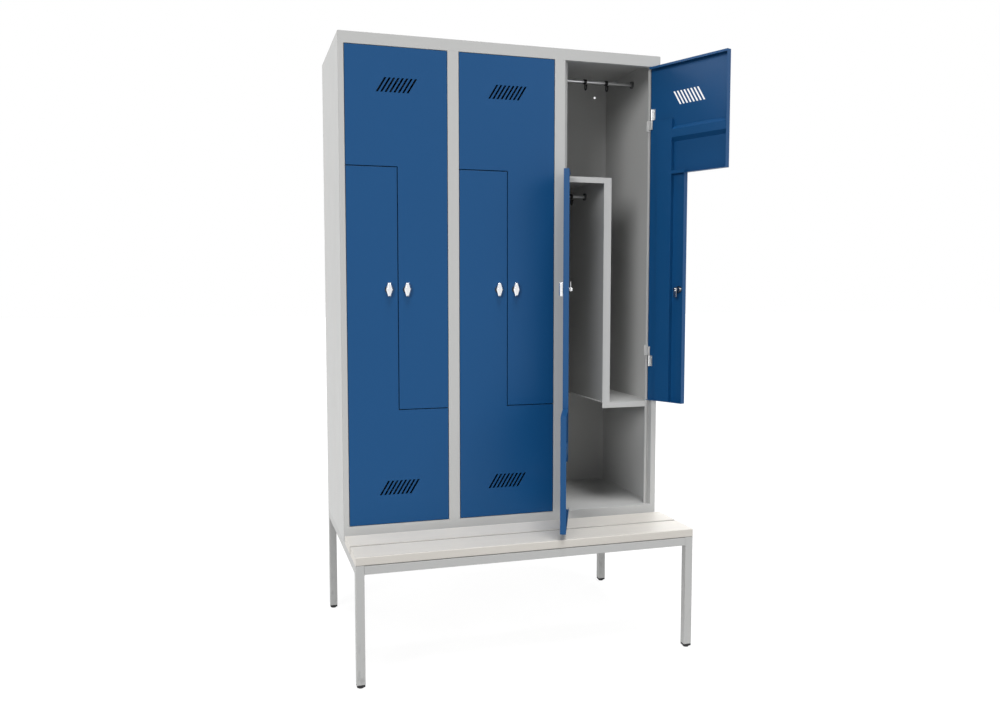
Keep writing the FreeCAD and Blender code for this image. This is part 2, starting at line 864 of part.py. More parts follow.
# The rails with their sockets, and the hooks that slide on them.
rails = []
sockets = []
for column in range(COLUMNS):
    for tag, start, end, height in rail_spans(column):
        name = f"rail_{column + 1}_{tag}"
        rails.append(bar(name, (start, d.rod_setback, height), "X", end - start, d.rod_radius))
        for side, x in (("left", start), ("right", end - d.socket_length)):
            label = f"socket_{column + 1}_{tag}_{side}"
            outside = d.rod_radius + d.socket_rim
            rim = bar(label + "_rim", (x, d.rod_setback, height), "X", d.socket_length, outside)
            bore = bar(label + "_bore", (x, d.rod_setback, height), "X", d.socket_length, d.rod_radius)
            sockets.append(cut(label, rim, bore))
node(group("hanging_rails", rails))
node(group("rail_sockets", sockets))
for column in range(COLUMNS):
    centre = (column + 0.5) * d.column_width.number
    hooks = [("a", d.hook_first, rod_high), ("b", d.hook_second, rod_high), ("c", d.hook_low, rod_low)]
    for tag, x, height in hooks:
        spot = FreeCAD.Vector(centre + x.number, d.rod_setback.number, height.number)
        node(hook(f"hook_{column + 1}{tag}"), FreeCAD.Placement(spot, FreeCAD.Rotation()))

# The bench under the cabinet.
legs = []
feet = []
for index, (x, y) in enumerate(leg_corners(), start=1):
    legs.append(tube(f"leg_{index}", (x, y, d.foot_height), (x + d.tube, y + d.tube, d.frame_top), "Z"))
    feet.append(foot(f"foot_{index}", x, y))
node(group("bench_legs", legs))
node(group("bench_feet", feet))
rail_low = d.frame_top - d.rail_height
far_x = width - d.tube
long_rails = [
    ("bench_front_rail", -d.bench_reach, d.frame_top - d.rail_gap),
    ("bench_rear_rail", d.cabinet_depth - d.tube, d.frame_top),
]
for name, y, high in long_rails:
    node(tube(name, (d.tube, y, rail_low), (far_x, y + d.tube, high), "X"))
side_rails = []
for tag, x in (("left", size(0.0)), ("right", far_x)):
    low = (x, d.tube - d.bench_reach, rail_low)
    high = (x + d.tube, d.cabinet_depth - d.tube, d.frame_top)
    side_rails.append(tube(f"side_rail_{tag}", low, high, "Y"))
node(group("bench_side_rails", side_rails))
cross = [tube("cross_rail", (d.tube, 0.0, rail_low), (far_x, d.tube, d.frame_top), "X")]
for index in range(1, COLUMNS):
    x = index * d.column_width - d.tube / 2
    low = (x, d.tube - d.bench_reach, rail_low)
    cross.append(tube(f"cross_bar_{index}", low, (x + d.tube, 0.0, d.frame_top), "Y"))
node(group("bench_cross_rails", cross))
slats = []
for index in range(2):
    front = index * (slat_width + d.slat_gap) - d.bench_reach
    slats.append(slat(f"slat_{index + 1}", front))
node(group("seat_slats", slats))

# The doors with their hinges and locks.
leaves = []
axles = []
for column in range(COLUMNS):
    for level in LEVELS:
        tag = f"{level}_{column + 1}"
        shut = closed_place(column, level)
        stand = door_place(column, level)
        leaf = frame_hinges(f"frame_hinge_{tag}")
        leaf.Placement = shut
        leaves.append(leaf)
        axle = pins(f"hinge_pin_{tag}")
        axle.Placement = shut
        axles.append(axle)
        node(door_shell(f"door_{tag}"), stand)
        node(door_stiffeners(f"stiffeners_{tag}"), stand)
        node(door_hinges(f"door_hinge_{tag}"), stand)
        node(lock_housing(f"lock_{tag}"), stand)
        node(lock_knob(f"knob_{tag}"), stand)
node(group("frame_hinges", leaves))
node(group("hinge_pins", axles))

doc.recompute()
for item in doc.Objects:
    if "Invalid" in item.State or "Error" in item.State:
        raise RuntimeError(f"{item.Name} did not compute: {item.State}")
reach = FreeCAD.BoundBox()
for item in nodes:
    if item.Shape.isNull() or not item.Shape.isValid():
        raise RuntimeError(f"{item.Name} has no valid shape")
    reach.add(item.Shape.optimalBoundingBox(False, False))

# The row's origin is the middle of the box on the floor, with the open doors counted.
shift = FreeCAD.Vector(-reach.Center.x, -reach.Center.y, -reach.ZMin)
os.makedirs("parts", exist_ok=True)
for item in nodes:
    item.Label = item.Name
    item.Shape.translated(shift).exportStep(f"parts/{item.Label}.step")
print(f"{len(nodes)} nodes, box {reach.XLength:.4f} x {reach.YLength:.4f} x {reach.ZLength:.4f}")
print(f"shift {shift.x:.6f} {shift.y:.6f} {shift.z:.6f}")
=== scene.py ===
import json
import math

import bmesh
import bpy
from bpy.props import FloatProperty, FloatVectorProperty, IntProperty, PointerProperty
from mathutils import Matrix, Vector


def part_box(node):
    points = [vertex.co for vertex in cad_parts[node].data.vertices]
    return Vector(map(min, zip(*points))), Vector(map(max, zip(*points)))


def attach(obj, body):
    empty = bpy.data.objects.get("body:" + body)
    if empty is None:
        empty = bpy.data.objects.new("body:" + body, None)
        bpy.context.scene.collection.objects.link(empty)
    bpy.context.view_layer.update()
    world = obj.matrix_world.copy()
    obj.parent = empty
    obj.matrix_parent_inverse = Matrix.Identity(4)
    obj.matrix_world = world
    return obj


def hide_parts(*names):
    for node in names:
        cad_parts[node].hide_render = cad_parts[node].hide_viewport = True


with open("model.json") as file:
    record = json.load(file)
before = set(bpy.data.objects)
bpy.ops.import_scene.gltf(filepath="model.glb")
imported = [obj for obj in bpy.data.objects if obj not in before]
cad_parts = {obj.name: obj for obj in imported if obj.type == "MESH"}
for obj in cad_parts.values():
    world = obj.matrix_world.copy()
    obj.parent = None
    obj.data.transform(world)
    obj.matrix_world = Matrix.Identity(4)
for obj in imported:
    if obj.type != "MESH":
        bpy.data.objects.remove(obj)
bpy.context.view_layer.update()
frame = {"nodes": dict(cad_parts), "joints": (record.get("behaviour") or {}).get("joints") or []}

bl_info = {
    "name": "Bench locker looks",
    "version": (1, 0, 0),
    "blender": (4, 5, 0),
    "location": "View3D > Sidebar > Locker",
    "description": "Dresses a three-column bench locker with its paint, fasteners and a studio stage",
    "category": "Object",
}

JOINTS = {joint["name"]: joint for joint in frame["joints"]}
LEVELS = ("upper", "lower")
COLUMNS = (1, 2, 3)
DOORS = [f"{level}_{column}" for column in COLUMNS for level in LEVELS]
HOOKS = [f"hook_{column}{letter}" for column in COLUMNS for letter in "abc"]
FOLDED_SHEETS = [
    "side_panel_left", "side_panel_right", "divider_1", "divider_2", "top_panel", "bottom_panel",
    "z_partition_1", "z_partition_2", "z_partition_3", "frame_hinges",
]
BENCH = ["bench_legs", "bench_front_rail", "bench_rear_rail", "bench_side_rails", "bench_cross_rails"]

# Outer faces of the cabinet and the bench, the bench tube's side and the dividers' middles, in metres.
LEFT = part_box("side_panel_left")[0].x
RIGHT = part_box("side_panel_right")[1].x
FRONT, BACK = (corner.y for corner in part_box("side_panel_left"))
BASE, TOP = (corner.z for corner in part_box("side_panel_left"))
BENCH_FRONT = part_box("bench_legs")[0].y
RAIL_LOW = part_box("bench_side_rails")[0].z
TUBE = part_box("bench_front_rail")[1].y - BENCH_FRONT
COLUMN_WIDTH = (RIGHT - LEFT) / len(COLUMNS)
DIVIDERS = [LEFT + column * COLUMN_WIDTH for column in COLUMNS[:-1]]

# A door's own frame: the level of its front face, and the axes through its sheet and up its height.
DOOR_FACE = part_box("door_upper_1")[0].y - JOINTS["upper_door_1_hinge"]["pos_m"][1]
INWARDS, UPWARDS = 1, 2

# Points of a door closer than this, in metres, are one point.
TOUCHING = 0.000003
# A face stands across a door's sheet where its normal has less than this of the sheet's own direction.
ACROSS = 0.5
# Corners this close, in metres, are joined before edges that turn by more than the angle are rounded.
JOINED = 0.00001
HARD_EDGE = math.radians(35.0)
# Depth behind a door's face, in metres, over which a lock's plating changes.
PLATING_CHANGE = 0.0005
# Which way a fastener's head looks.
FACING = "facing"


def colour_setting(name, description, default):
    return FloatVectorProperty(
        name=name, description=description, default=default, subtype="COLOR", size=3, min=0.0, max=1.0,
    )


def length_setting(name, description, default):
    return FloatProperty(
        name=name, description=description, default=default,
        subtype="DISTANCE", unit="LENGTH", min=0.0, precision=5,
    )


def lamp_setting(name, description, default):
    return FloatProperty(name=name, description=description, default=default, min=0.0)


class LockerFinishes(bpy.types.PropertyGroup):
    """Colours of the locker's finishes."""

    cabinet: colour_setting("Cabinet", "Powder paint of the cabinet's sheets", (0.478, 0.480, 0.473))
    bench: colour_setting("Bench", "Powder paint of the bench frame", (0.425, 0.427, 0.422))
    doors: colour_setting("Doors", "Powder paint of the doors and their stiffeners", (0.0021, 0.061, 0.182))
    slats: colour_setting("Slats", "Pale stain of the seat slats", (0.607, 0.581, 0.538))
    worn: colour_setting("Worn slats", "Slats where people sit", (0.50, 0.48, 0.44))
    plastic: colour_setting("Plastic", "Moulded plastic of the hooks and feet", (0.012, 0.012, 0.013))
    sockets: colour_setting("Sockets", "Moulded plastic of the rail sockets", (0.100, 0.101, 0.102))
    rails: colour_setting("Rails", "Drawn steel of the hanging rails", (0.780, 0.785, 0.790))
    zinc: colour_setting("Zinc", "Zinc plate of the hinges and bolts", (0.700, 0.705, 0.700))
    chrome: colour_setting("Chrome", "Chrome plate of the knobs", (0.800, 0.805, 0.815))
    lock: colour_setting("Lock", "Black chrome plate of the locks' fronts", (0.050, 0.052, 0.056))
    lock_back: colour_setting("Lock back", "Dull plate of the locks behind the doors", (0.300, 0.305, 0.310))


class LockerSizes(bpy.types.PropertyGroup):
    """Sizes of the small details that the looks add."""

    sheet_round: length_setting("Sheet rounding", "Rounding of the sheet metal's edges", 0.0004)
    tube_round: length_setting("Tube rounding", "Corner rounding of the bench tubes", 0.0012)
    knob_round: length_setting("Knob rounding", "Rounding of the knob's and cam's edges", 0.0007)
    door_sheet: length_setting("Door sheet", "Thickness of the doors' sheet", 0.0012)
    vent_count: IntProperty(name="Vents", description="Number of vent slots in a door", default=8, min=1)
    vent_pitch: length_setting("Vent pitch", "Distance between two vent slots", 0.0152)
    vent_width: length_setting("Vent width", "Width of a vent slot along the row", 0.0075)
    vent_height: length_setting("Vent height", "Height of the row of vent slots", 0.050)
    vent_slant: length_setting("Vent slant", "How far a vent slot leans over its height", 0.0305)
    vent_drop: length_setting("Vent drop", "Distance from the door's short edge to its vents", 0.103)
    leaf_height: length_setting("Hinge leaf", "Height of a hinge plate and of a hinge strap", 0.040)
    leaf_gap: length_setting("Hinge gap", "Play between a hinge plate and the strap beside it", 0.0005)
    leaf_thick: length_setting("Hinge thickness", "Thickness of a hinge plate and of a hinge strap", 0.002)
    leaf_middle: length_setting("Hinge fixing", "Distance from the pin to a hinge leaf's fixings", 0.0088)
    fixing_rise: length_setting("Fixing rise", "Height of the fixings above and below a leaf's middle", 0.012)
    spot_radius: length_setting("Spot weld", "Radius of a spot weld on a hinge plate", 0.0030)
    spot_height: length_setting("Spot height", "Height of a spot weld on a hinge plate", 0.0004)
    rivet_radius: length_setting("Rivet head", "Radius of a rivet's head", 0.0032)
    rivet_height: length_setting("Rivet height", "Height of a rivet's head", 0.0011)
    rivet_pitch: length_setting("Rivet pitch", "Distance between the rivets of a seam", 0.118)
    seam_inset: length_setting("Seam inset", "Distance from the back's edge to its rivets", 0.012)
    seam_end: length_setting("Seam end", "Distance from the back's corner to a seam's first rivet", 0.045)
    slat_gap: length_setting("Slat gap", "Gap between the seat slats", 0.010)
    slat_edge: length_setting("Slat rounding", "Rounding of the slats' long edges", 0.003)
    bolt_radius: length_setting("Bolt head", "Radius of a slat bolt's head", 0.0058)
    bolt_height: length_setting("Bolt height", "Height of a slat bolt's head", 0.0032)
    bead_radius: length_setting("Weld bead", "Radius of a weld bead on the bench frame", 0.0019)
    bead_ripple: length_setting("Weld ripple", "Length of one ripple of a weld bead", 0.0042)
    bead_stop: length_setting("Weld stop", "Distance from the frame's top to a weld bead's end", 0.004)


class LockerStage(bpy.types.PropertyGroup):
    """Camera and light of the studio."""

    eye: FloatVectorProperty(
        name="Eye", description="Where the camera stands",
        default=(-1.02785, -3.19818, 1.2826), subtype="TRANSLATION",
    )
    pitch: FloatProperty(
        name="Pitch", description="How far the camera looks down", default=0.0747, subtype="ANGLE",
    )
    yaw: FloatProperty(
        name="Yaw", description="How far the camera looks to the right", default=0.2949, subtype="ANGLE",
    )
    lens: FloatProperty(
        name="Lens", description="Focal length in millimetres", default=32.264,
        subtype="DISTANCE_CAMERA", min=1.0,
    )
    key: lamp_setting("Key", "Strength of the lamp in front on the left", 1.6)
    side: lamp_setting("Side", "Strength of the lamp behind on the left", 1.15)
    fill: lamp_setting("Fill", "Strength of the lamp in front on the right", 0.6)
    top: lamp_setting("Top", "Strength of the lamp overhead", 2.3)
    rim: lamp_setting("Rim", "Strength of the broad lamp behind on the right", 1.3)
    ambient: lamp_setting("Ambient", "Strength of the studio's own light", 0.16)
    floor_bounce: lamp_setting("Floor bounce", "Lightness of the floor as it lights the locker", 0.46)
    floor_glow: lamp_setting("Floor glow", "White that the camera sees of the floor", 0.86)
    floor_paint: lamp_setting("Floor paint", "Lightness that the lamps add to the floor", 0.22)


class Link:
    """A node's output that sums can be written with; each sum adds a Math node."""

    def __init__(self, tree, socket):
        self.tree = tree
        self.socket = socket

    def out(self, name):
        """Another output of the same node."""
        return Link(self.tree, self.socket.node.outputs[name])

    def _math(self, operation, first, second):
        node = self.tree.nodes.new("ShaderNodeMath")
        node.operation = operation
        for socket, value in zip(node.inputs, (first, second)):
            if isinstance(value, Link):
                self.tree.links.new(value.socket, socket)
            else:
                socket.default_value = value
        return Link(self.tree, node.outputs[0])

    def __add__(self, other):
        return self._math("ADD", self, other)

    __radd__ = __add__

    def __sub__(self, other):
        return self._math("SUBTRACT", self, other)

    def __rsub__(self, other):
        return self._math("SUBTRACT", other, self)

    def __mul__(self, other):
        return self._math("MULTIPLY", self, other)

    __rmul__ = __mul__

    def __truediv__(self, other):
        return self._math("DIVIDE", self, other)

    def __rtruediv__(self, other):
        return self._math("DIVIDE", other, self)


class Nodes:
    """A node tree with one way to add a node."""

    def __init__(self, tree):
        self.tree = tree
        tree.nodes.clear()

    def add(self, kind, settings=None, inputs=None, output=0):
        node = self.tree.nodes.new(kind)
        for name, value in (settings or {}).items():
            setattr(node, name, value)
        for name, value in (inputs or {}).items():
            for part in value if isinstance(value, list) else [value]:
                if isinstance(part, Link):
                    self.tree.links.new(part.socket, node.inputs[name])
                else:
                    node.inputs[name].default_value = part
        return Link(self.tree, node.outputs[output]) if node.outputs else None

    def seen_rays(self):
        """1 on rays from the camera and on those that gloss or glass sends on."""
        path = self.add("ShaderNodeLightPath", output="Is Camera Ray")
        return path + path.out("Is Glossy Ray") + path.out("Is Transmission Ray")


def paint(colour, share=1.0):
    """A colour with its alpha, made lighter or darker by a share."""
    return (*(min(1.0, channel * share) for channel in colour), 1.0)


class Finish(Nodes):
    """A material: its patterns sit on the object's own coordinates."""

    def __init__(self, name):
        self.material = bpy.data.materials.new(name)
        self.material.use_nodes = True
        super().__init__(self.material.node_tree)
        self.place = self.add("ShaderNodeTexCoord", output="Object")

    def noise(self, waves, detail=2.0, stretch=None):
        """Noise with a number of waves per metre, drawn out along the axes where stretch is given."""
        place = self.place
        if stretch:
            place = self.add("ShaderNodeVectorMath", {"operation": "MULTIPLY"}, {0: place, 1: stretch})
        return self.add("ShaderNodeTexNoise", None, {"Vector": place, "Scale": waves, "Detail": detail})

    def ramp(self, value, low, high):
        """0 below low, 1 above high and a smooth rise between them."""
        return self.add(
            "ShaderNodeMapRange",
            {"interpolation_type": "SMOOTHSTEP"},
            {"Value": value, "From Min": low, "From Max": high},
        )

    def mix(self, factor, first, second):
        """A colour between two colours."""
        return self.add("ShaderNodeMix", {"data_type": "RGBA"}, {0: factor, 6: first, 7: second}, output=2)

    def surface(self, height, **inputs):
        """Closes the material: a bump in metres, and the shader's inputs by name."""
        normal = self.add("ShaderNodeBump", None, {"Strength": 1.0, "Distance": 1.0, "Height": height})
        named = {
            name.replace("_", " ").title().replace("Ior", "IOR"): value for name, value in inputs.items()
        }
        shader = self.add("ShaderNodeBsdfPrincipled", None, {**named, "Normal": normal})
        self.add("ShaderNodeOutputMaterial", None, {"Surface": shader})
        return self.material


def powder_coat(name, colour, scuffed=0.0):
    """Baked powder paint: flow texture, uneven sheen, slight waves of the sheet, scuffs near the floor."""
    finish = Finish(name)
    drift = finish.noise(1.7, detail=3.0)
    cloud = finish.noise(11.0, detail=4.0)
    peel = finish.noise(520.0)
    fleck = finish.noise(2300.0, detail=1.0)
    waves = finish.noise(2.6, detail=1.0)
    tone = finish.mix(drift * 0.6 + fleck * 0.4, paint(colour, 0.95), paint(colour, 1.05))
    sheen = 0.38 + cloud * 0.14
    if scuffed:
        height = finish.add("ShaderNodeSeparateXYZ", None, {0: finish.place}, output="Z")
        near_floor = 1.0 - finish.ramp(height, low=0.02, high=0.22)
        rubbed = finish.noise(60.0, detail=5.0, stretch=(1.0, 1.0, 0.35))
        scuff = near_floor * finish.ramp(rubbed, low=0.56, high=0.70) * scuffed
        tone = finish.mix(scuff, tone, paint(colour, 0.62))
        sheen = sheen + scuff * 0.25
    return finish.surface(
        waves * 0.0006 + peel * 0.00003, base_color=tone, roughness=sheen, specular_ior_level=0.30,
    )


def stained_slat(name, finishes, sizes, front, middle):
    """Pale stained board: long grain, pores, a matt lacquer worn by sitting, painted shade in the gap between
    the slats and along their front edge.
    """
    finish = Finish(name)
    grain = finish.noise(1.0, detail=6.0, stretch=(1.6, 46.0, 46.0))
    pores = finish.noise(1.0, detail=3.0, stretch=(14.0, 520.0, 520.0))
    drift = finish.noise(3.0)
    wear = finish.ramp(finish.noise(7.0, detail=4.0, stretch=(0.4, 1.0, 1.0)), low=0.50, high=0.72)
    figure = grain * 0.65 + pores * 0.20 + drift * 0.15
    tone = finish.mix(figure, paint(finishes.slats, 0.90), paint(finishes.slats, 1.10))
    tone = finish.mix(wear * 0.10, tone, paint(finishes.worn))
    across = finish.add("ShaderNodeSeparateXYZ", None, {0: finish.place}, output="Y")
    aside = finish.add("ShaderNodeMath", {"operation": "ABSOLUTE"}, {0: across - middle})
    # Painted shade: the slats are darkened towards the gap between them.
    wall = sizes.slat_gap / 2
    gap_shade = 1.0 - finish.ramp(aside, wall, wall + sizes.slat_edge)
    # Painted shade: the slats are darkened along their front edge.
    edge = 1.0 - finish.ramp(across, front, front + sizes.slat_edge)
    tone = finish.mix(gap_shade * 0.65 + edge * 0.16, tone, paint(finishes.slats, 0.35))
    return finish.surface(
        grain * 0.00012 + pores * 0.00006, base_color=tone, roughness=0.46 + grain * 0.12 - wear * 0.06,
        specular_ior_level=0.35,
    )


def moulded_plastic(name, colour):
    """Moulded plastic with a fine eroded grain and rubbed, shinier places."""
    finish = Finish(name)
    grain = finish.noise(1900.0)
    rubbed = finish.ramp(finish.noise(70.0, detail=3.0), low=0.52, high=0.70)
    tone = finish.mix(grain * 0.6 + rubbed * 0.4, paint(colour, 0.75), paint(colour, 1.6))
    return finish.surface(
        grain * 0.00005, base_color=tone, roughness=0.58 - rubbed * 0.14, specular_ior_level=0.35,
    )


def zinc_plate(name, colour):
    """Zinc-plated steel with its small spangles and a dull film."""
    finish = Finish(name)
    cell = finish.add("ShaderNodeTexVoronoi", None, {"Vector": finish.place, "Scale": 420.0}, output="Color")
    spangle = finish.add("ShaderNodeSeparateColor", None, {0: cell})
    film = finish.noise(90.0, detail=4.0)
    tone = finish.mix(spangle * 0.5 + film * 0.5, paint(colour, 0.86), paint(colour, 1.10))
    return finish.surface(
        film * 0.00003, base_color=tone, metallic=1.0, roughness=0.30 + spangle * 0.10 + film * 0.12,
    )


def drawn_steel(name, colour):
    """A drawn round bar: fine lines along its length and a little haze."""
    finish = Finish(name)
    lines = finish.noise(1.0, detail=3.0, stretch=(7.0, 1500.0, 1500.0))
    haze = finish.noise(26.0, detail=3.0)
    tone = finish.mix(lines * 0.7 + haze * 0.3, paint(colour, 0.84), paint(colour, 1.10))
    return finish.surface(
        lines * 0.00001, base_color=tone, metallic=1.0, roughness=0.22 + lines * 0.10 + haze * 0.12,
    )


def polished_chrome(name, colour, door=None, hidden=None):
    """Chrome plate with polishing lines and finger marks, of another colour behind a door's sheet."""
    finish = Finish(name)
    lines = finish.noise(1.0, stretch=(2200.0, 2200.0, 120.0))
    marks = finish.ramp(finish.noise(160.0, detail=4.0), low=0.50, high=0.68)
    shade = marks * 0.6 + lines * 0.4

    def plated(tint):
        return finish.mix(shade, paint(tint, 1.04), paint(tint, 0.92))

    tone = plated(colour)
    if door:
        space = door_space(door)
        inward = space.to_3x3() @ Vector((0.0, 1.0, 0.0))
        depth = finish.add(
            "ShaderNodeVectorMath",
            {"operation": "DOT_PRODUCT"},
            {0: finish.place, 1: inward},
            output="Value",
        )
        sheet = inward.dot(space.translation) + DOOR_FACE
        behind = finish.ramp(depth, sheet, sheet + PLATING_CHANGE)
        tone = finish.mix(behind, tone, plated(hidden))
    return finish.surface(
        lines * 0.000004, base_color=tone, metallic=1.0, roughness=0.07 + marks * 0.13 + lines * 0.04,
    )


def dress(names, material):
    """Gives CAD nodes one finish in all their slots."""
    for name in names:
        mesh = frame["nodes"][name].data
        for index in range(len(mesh.materials)):
            mesh.materials[index] = material


def round_edges(names, width, segments=2):
    """Rounds the hard edges of CAD nodes."""
    for name in names:
        node = frame["nodes"][name]
        weld = node.modifiers.new("Join corners", "WELD")
        weld.merge_threshold = JOINED
        bevel = node.modifiers.new("Round edges", "BEVEL")
        bevel.width = width
        bevel.segments = segments
        bevel.limit_method = "ANGLE"
        bevel.angle_limit = HARD_EDGE
        bevel.harden_normals = True


def new_piece(name, points, edges=(), faces=(), facings=None):
    """An object of points, lines and faces, to keep or for a node tree to work on."""
    mesh = bpy.data.meshes.new(name)
    mesh.from_pydata([tuple(point) for point in points], list(edges), list(faces))
    if facings:
        layer = mesh.attributes.new(FACING, "FLOAT_VECTOR", "POINT")
        layer.data.foreach_set("vector", [axis for facing in facings for axis in facing])
    piece = bpy.data.objects.new(name, mesh)
    bpy.context.scene.collection.objects.link(piece)
    return piece


def size_input(tree, name, value):
    """A named length that the tree takes from its modifier."""
    socket = tree.interface.new_socket(name=name, in_out="INPUT", socket_type="NodeSocketFloat")
    socket.subtype = "DISTANCE"
    socket.default_value = value


def open_tree(name, values):
    """A geometry tree with a mesh input, named sizes and a mesh output."""
    tree = bpy.data.node_groups.new(name, "GeometryNodeTree")
    tree.interface.new_socket(name="Geometry", in_out="INPUT", socket_type="NodeSocketGeometry")
    for label, value in values.items():
        size_input(tree, label, value)
    tree.interface.new_socket(name="Geometry", in_out="OUTPUT", socket_type="NodeSocketGeometry")
    nodes = Nodes(tree)
    return nodes, nodes.add("NodeGroupInput", output="Geometry")


def close_tree(nodes, geometry, material):
    """Makes the instances real, sets their finish and hands the mesh out."""
    real = nodes.add("GeometryNodeRealizeInstances", None, {"Geometry": geometry})
    dressed = nodes.add("GeometryNodeSetMaterial", None, {"Geometry": real, "Material": material})
    nodes.add("NodeGroupOutput", None, {"Geometry": dressed})
    return nodes.tree


def domed_head(nodes, radius, height):
    """A low round head whose lower half sits in the sheet."""
    ball = nodes.add("GeometryNodeMeshUVSphere", None, {"Segments": 16, "Rings": 8, "Radius": 1.0})
    scale = nodes.add("ShaderNodeCombineXYZ", None, {"X": radius, "Y": radius, "Z": height})
    flat = nodes.add("GeometryNodeTransform", None, {"Geometry": ball, "Scale": scale})
    return nodes.add("GeometryNodeSetShadeSmooth", None, {"Geometry": flat})


def cross_recess(nodes, head, radius, height):
    """Cuts a driver's cross into a head."""
    length, width, depth = radius * 1.15, radius * 0.26, height * 1.2
    lift = nodes.add("ShaderNodeCombineXYZ", None, {"Z": height})
    arms = []
    for along, across in (("X", "Y"), ("Y", "X")):
        size = nodes.add("ShaderNodeCombineXYZ", None, {along: length, across: width, "Z": depth})
        arm = nodes.add("GeometryNodeMeshCube", None, {"Size": size})
        arms.append(nodes.add("GeometryNodeTransform", None, {"Geometry": arm, "Translation": lift}))
    return nodes.add(
        "GeometryNodeMeshBoolean", {"operation": "DIFFERENCE", "solver": "EXACT"}, {0: head, 1: arms},
    )


def set_on_points(nodes, points, head):
    """One head on each point, turned the way the point faces."""
    facing = nodes.add("GeometryNodeInputNamedAttribute", {"data_type": "FLOAT_VECTOR"}, {"Name": FACING})
    turn = nodes.add("FunctionNodeAlignRotationToVector", {"axis": "Z"}, {"Vector": facing})
    return nodes.add(
        "GeometryNodeInstanceOnPoints", None, {"Points": points, "Instance": head, "Rotation": turn},
    )


def head_tree(name, material, values, recessed=False):
    """Bolt heads, rivets or spot welds on given points."""
    nodes, given = open_tree(name, values)
    radius, height = given.out("Head radius"), given.out("Head height")
    head = domed_head(nodes, radius, height)
    if recessed:
        head = cross_recess(nodes, head, radius, height)
    points = nodes.add("GeometryNodeMeshToPoints", None, {"Mesh": given})
    return close_tree(nodes, set_on_points(nodes, points, head), material)


def rivet_tree(name, material, values):
    """Rivets spaced evenly along seam lines."""
    nodes, given = open_tree(name, values)
    line = nodes.add("GeometryNodeMeshToCurve", None, {"Mesh": given})
    spaced = nodes.add(
        "GeometryNodeResampleCurve", {"mode": "LENGTH"}, {"Curve": line, "Length": given.out("Pitch")},
    )
    points = nodes.add("GeometryNodeCurveToPoints", {"mode": "EVALUATED"}, {"Curve": spaced})
    head = domed_head(nodes, given.out("Head radius"), given.out("Head height"))
    return close_tree(nodes, set_on_points(nodes, points, head), material)


def bead_tree(name, material, values):
    """A rippled weld bead along lines."""
    nodes, given = open_tree(name, values)
    radius, ripple = given.out("Bead radius"), given.out("Ripple")
    line = nodes.add("GeometryNodeMeshToCurve", None, {"Mesh": given})
    fine = nodes.add(
        "GeometryNodeResampleCurve", {"mode": "LENGTH"}, {"Curve": line, "Length": ripple * 0.25},
    )
    along = nodes.add("GeometryNodeSplineParameter", output="Length")
    wave = nodes.add("ShaderNodeMath", {"operation": "SINE"}, {0: along / ripple * math.tau})
    rough = nodes.add("ShaderNodeTexNoise", None, {"Scale": 210.0})
    ring = nodes.add("GeometryNodeCurvePrimitiveCircle", None, {"Resolution": 10, "Radius": radius})
    swell = 0.78 + wave * 0.10 + rough * 0.44
    bead = nodes.add(
        "GeometryNodeCurveToMesh", None,
        {"Curve": fine, "Profile Curve": ring, "Fill Caps": True, "Scale": swell},
    )
    smooth = nodes.add("GeometryNodeSetShadeSmooth", None, {"Geometry": bead})
    return close_tree(nodes, smooth, material)


def make_piece(piece, tree, values, body):
    """Runs the tree on the piece, keeps the result as a plain mesh and sets it on its body."""
    modifier = piece.modifiers.new("Make", "NODES")
    modifier.node_group = tree
    for socket in tree.interface.items_tree:
        if socket.in_out == "INPUT" and socket.name in values:
            modifier[socket.identifier] = values[socket.name]
    graph = bpy.context.evaluated_depsgraph_get()
    made = bpy.data.meshes.new_from_object(
        piece.evaluated_get(graph), preserve_all_data_layers=True, depsgraph=graph,
    )
    piece.modifiers.remove(modifier)
    if not made.polygons:
        raise RuntimeError(f"{piece.name} came out empty")
    drawn = piece.data
    piece.data = made
    bpy.data.meshes.remove(drawn)
    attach(piece, body)


def door_body(door):
    """The body that a door's pieces ride on."""
    level, column = door.split("_")
    return f"{level}_door_{column}"


def door_space(door, shut=False):
    """A door's own frame, as it stands or shut: origin on the pin at mid height, free edge on its -X side."""
    hinge = JOINTS[f"{door_body(door)}_hinge"]
    low, high = hinge["range_deg"]
    turned = door.startswith("lower")
    angle = 0.0 if shut else math.radians(-high if turned else -low)
    swing = Matrix.Rotation(angle, 4, "Z")
    flip = Matrix.Rotation(math.pi if turned else 0.0, 4, "Y")
    return Matrix.Translation(hinge["pos_m"]) @ swing @ flip


def vent_outlines(top, middle, sizes):
    """The corners of each vent slot on a door's sheet, as x and z in the door's own frame."""
    high = top - sizes.vent_drop
    low = high - sizes.vent_height
    row = (sizes.vent_count - 1) * sizes.vent_pitch + sizes.vent_width + sizes.vent_slant
    for index in range(sizes.vent_count):
        left = middle - row / 2 + index * sizes.vent_pitch
        right = left + sizes.vent_width
        yield (left, low), (right, low), (right + sizes.vent_slant, high), (left + sizes.vent_slant, high)


def merged_pan(door):
    """A door's CAD triangles in the door's own frame, joined at their corners."""
    pan = bmesh.new()
    pan.from_mesh(frame["nodes"][f"door_{door}"].data)
    pan.transform(door_space(door).inverted())
    bmesh.ops.remove_doubles(pan, verts=pan.verts, dist=TOUCHING)
    pan.normal_update()
    return pan


def lies_at(item, axis, levels):
    """Whether each corner of a face or an edge is at one of the levels along an axis."""
    return all(any(abs(vert.co[axis] - level) < TOUCHING for level in levels) for vert in item.verts)


def face_towards(face, direction):
    """Turns a face over where it looks away from a direction."""
    face.normal_update()
    if face.normal.dot(direction) < 0.0:
        face.normal_flip()


